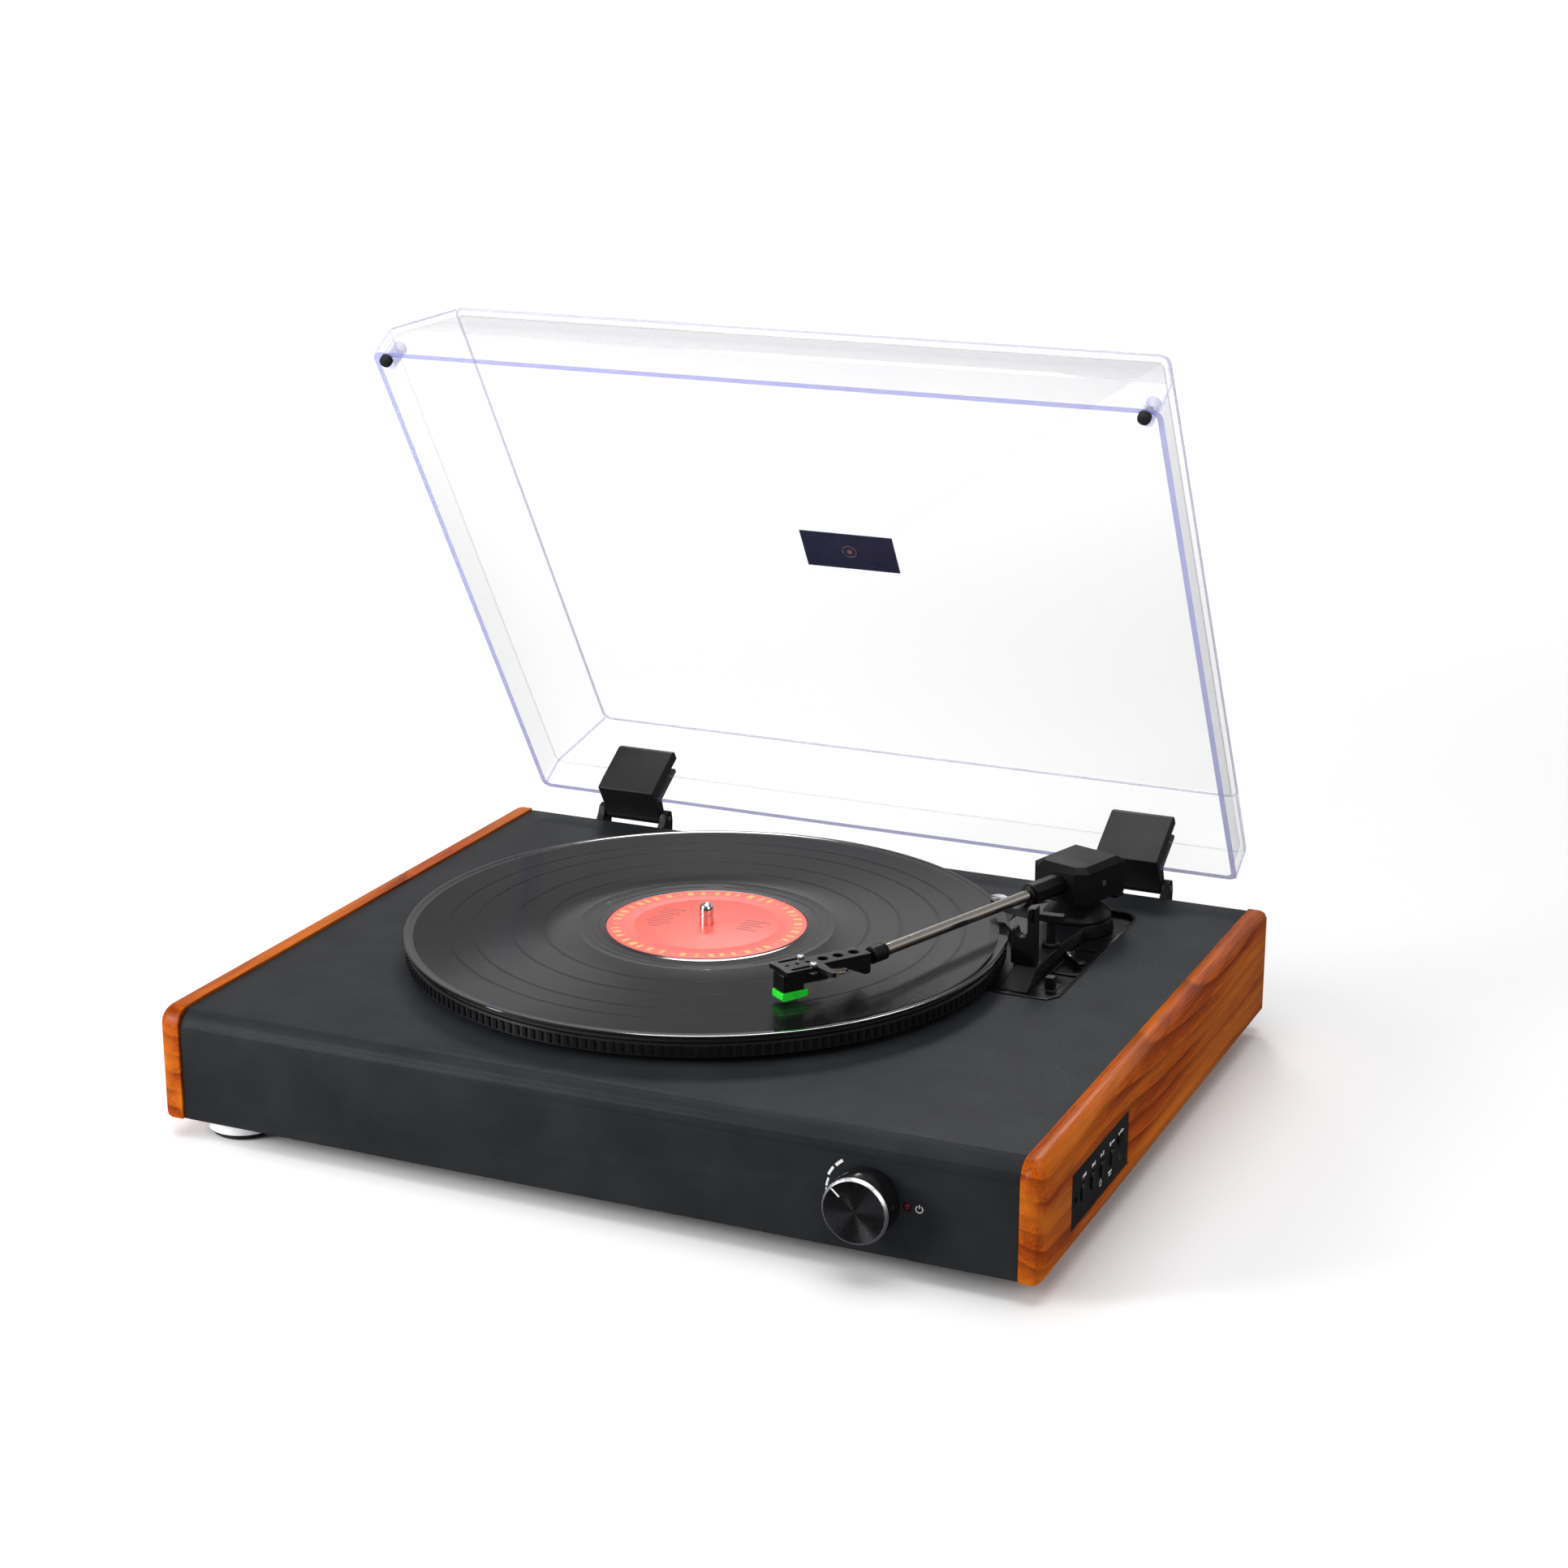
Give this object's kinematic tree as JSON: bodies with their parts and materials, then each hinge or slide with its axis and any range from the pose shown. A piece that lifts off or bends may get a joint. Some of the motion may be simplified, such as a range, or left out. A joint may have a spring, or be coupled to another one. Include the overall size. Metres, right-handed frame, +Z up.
{
  "type": "turntable record player",
  "caption": "Belt-drive record player with wooden side panels, platter with a record, straight tonearm, hinged clear dust cover, volume knob and side controls.",
  "frame": {"origin": "middle of the whole object's footprint, on the surface the feet stand on, with the dust cover open as at rest", "axes": "+X to the right as seen from the front, +Y from the front towards the hinges, +Z up"},
  "size_m": [0.4461, 0.4166, 0.3668],
  "materials": {
    "black_plastic": "satin moulded black plastic",
    "vinyl": "black vinyl wrap with a fine grain",
    "wood": "lacquered orange-brown hardwood, grain along the length",
    "board": "plain hardboard underside",
    "foot_metal": "satin silver cups with a dark rubber base",
    "rubber": "black rubber",
    "platter_metal": "dark satin platter",
    "felt": "black felt",
    "record": "glossy black grooved vinyl",
    "label": "red-orange paper label",
    "chrome": "polished",
    "tube": "satin champagne silver",
    "steel": "plain steel",
    "stylus": "bright green plastic",
    "led": "red lens",
    "acrylic": "clear acrylic with slightly violet edges",
    "badge": "dark blue adhesive plate"
  },
  "bodies": {
    "chassis": {"arm_deck": "black_plastic", "arm_island": "black_plastic", "arm_pedestal": "black_plastic", "arm_rest_post": "black_plastic", "base_panel": "board", "chassis_shell": "vinyl", "control_plate": "black_plastic", "dc_inlet": "black_plastic", "drive_belt": "rubber", "drive_motor": "steel", "foot_back_left": "foot_metal", "foot_back_right": "foot_metal", "foot_front_left": "foot_metal", "foot_front_right": "foot_metal", "hinge_base_left": "black_plastic", "hinge_base_right": "black_plastic", "hinge_pin_left": "steel", "hinge_pin_right": "steel", "jack_panel": "black_plastic", "line_out_left": "steel", "line_out_right": "steel", "main_bearing": "steel", "phones_jack": "black_plastic", "power_led": "led", "side_panel_left": "wood", "side_panel_right": "wood", "transit_screw": "chrome", "usb_socket": "steel", "volume_pot": "steel"},
    "platter_body": {"platter": "platter_metal", "platter_mat": "felt", "record_disc": "record", "record_label": "label", "spindle": "chrome"},
    "pulley": {"motor_pulley": "black_plastic"},
    "arm_shaft": {"arm_yoke": "steel"},
    "arm": {"arm_housing": "black_plastic", "arm_counterweight": "black_plastic", "arm_nut": "black_plastic", "arm_tube": "tube", "headshell_collar": "black_plastic", "headshell": "black_plastic", "cartridge_body": "black_plastic", "stylus_assembly": "stylus"},
    "lift": {"arm_lifter": "black_plastic"},
    "cue": {"cue_lever": "black_plastic"},
    "latch": {"arm_rest_latch": "black_plastic"},
    "knob": {"volume_knob": "black_plastic"},
    "switch": {"speed_switch": "black_plastic"},
    "button_1": {"side_button_1": "black_plastic"},
    "button_2": {"side_button_2": "black_plastic"},
    "button_3": {"side_button_3": "black_plastic"},
    "button_4": {"side_button_4": "black_plastic"},
    "lid": {"dust_cover": "acrylic", "hinge_clip_left": "black_plastic", "hinge_clip_right": "black_plastic", "lid_bumper_left": "rubber", "lid_bumper_right": "rubber", "lid_badge": "badge"}
  },
  "joints": [
    {"name": "platter_spin", "type": "hinge", "parent": "chassis", "child": "platter_body", "pos_m": [-0.0198, -0.01317, 0.0727], "axis": [0, 0, -1], "continuous": true},
    {"name": "pulley_spin", "type": "hinge", "parent": "chassis", "child": "pulley", "pos_m": [-0.08697, 0.05401, 0.0677], "axis": [0, 0, -1], "continuous": true},
    {"name": "arm_swing", "type": "hinge", "parent": "chassis", "child": "arm_shaft", "pos_m": [0.1365, 0.10013, 0.0893], "axis": [0, 0, 1], "range_deg": [-16.5, 15.9]},
    {"name": "arm_tilt", "type": "hinge", "parent": "arm_shaft", "child": "arm", "pos_m": [0.1365, 0.10013, 0.0893], "axis": [-0.9537, 0.3007, 0], "range_deg": [0, 2]},
    {"name": "arm_lift", "type": "slide", "parent": "chassis", "child": "lift", "axis": [0, 0, 1], "range_m": [0, 0.0022]},
    {"name": "cue_turn", "type": "hinge", "parent": "chassis", "child": "cue", "pos_m": [0.1493, 0.05043, 0.0649], "axis": [-0.7009, -0.7133, 0], "range_deg": [0, 60]},
    {"name": "latch_turn", "type": "hinge", "parent": "chassis", "child": "latch", "pos_m": [0.1397, 0.01713, 0.0976], "axis": [0, 1, 0], "range_deg": [0, 90]},
    {"name": "volume_turn", "type": "hinge", "parent": "chassis", "child": "knob", "pos_m": [0.1423, -0.19287, 0.0348], "axis": [0, -1, 0], "range_deg": [-200, 100]},
    {"name": "speed_slide", "type": "slide", "parent": "chassis", "child": "switch", "axis": [0, 1, 0], "range_m": [0, 0.004]},
    {"name": "button_1_press", "type": "slide", "parent": "chassis", "child": "button_1", "axis": [-1, 0, 0], "range_m": [0, 0.0012], "stiffness_N_per_m": 300},
    {"name": "button_2_press", "type": "slide", "parent": "chassis", "child": "button_2", "axis": [-1, 0, 0], "range_m": [0, 0.0012], "stiffness_N_per_m": 300},
    {"name": "button_3_press", "type": "slide", "parent": "chassis", "child": "button_3", "axis": [-1, 0, 0], "range_m": [0, 0.0012], "stiffness_N_per_m": 300},
    {"name": "button_4_press", "type": "slide", "parent": "chassis", "child": "button_4", "axis": [-1, 0, 0], "range_m": [0, 0.0012], "stiffness_N_per_m": 300},
    {"name": "lid_hinge", "type": "hinge", "parent": "chassis", "child": "lid", "pos_m": [0, 0.16408, 0.06673], "axis": [1, 0, 0], "range_deg": [0, 58.7]}
  ],
  "couplings": [
    {"joint": "pulley_spin", "follows": "platter_spin", "ratio": 14},
    {"joint": "arm_lift", "follows": "arm_tilt", "m_per_rad": 0.06176},
    {"joint": "cue_turn", "follows": "arm_tilt", "ratio": 29.4}
  ]
}
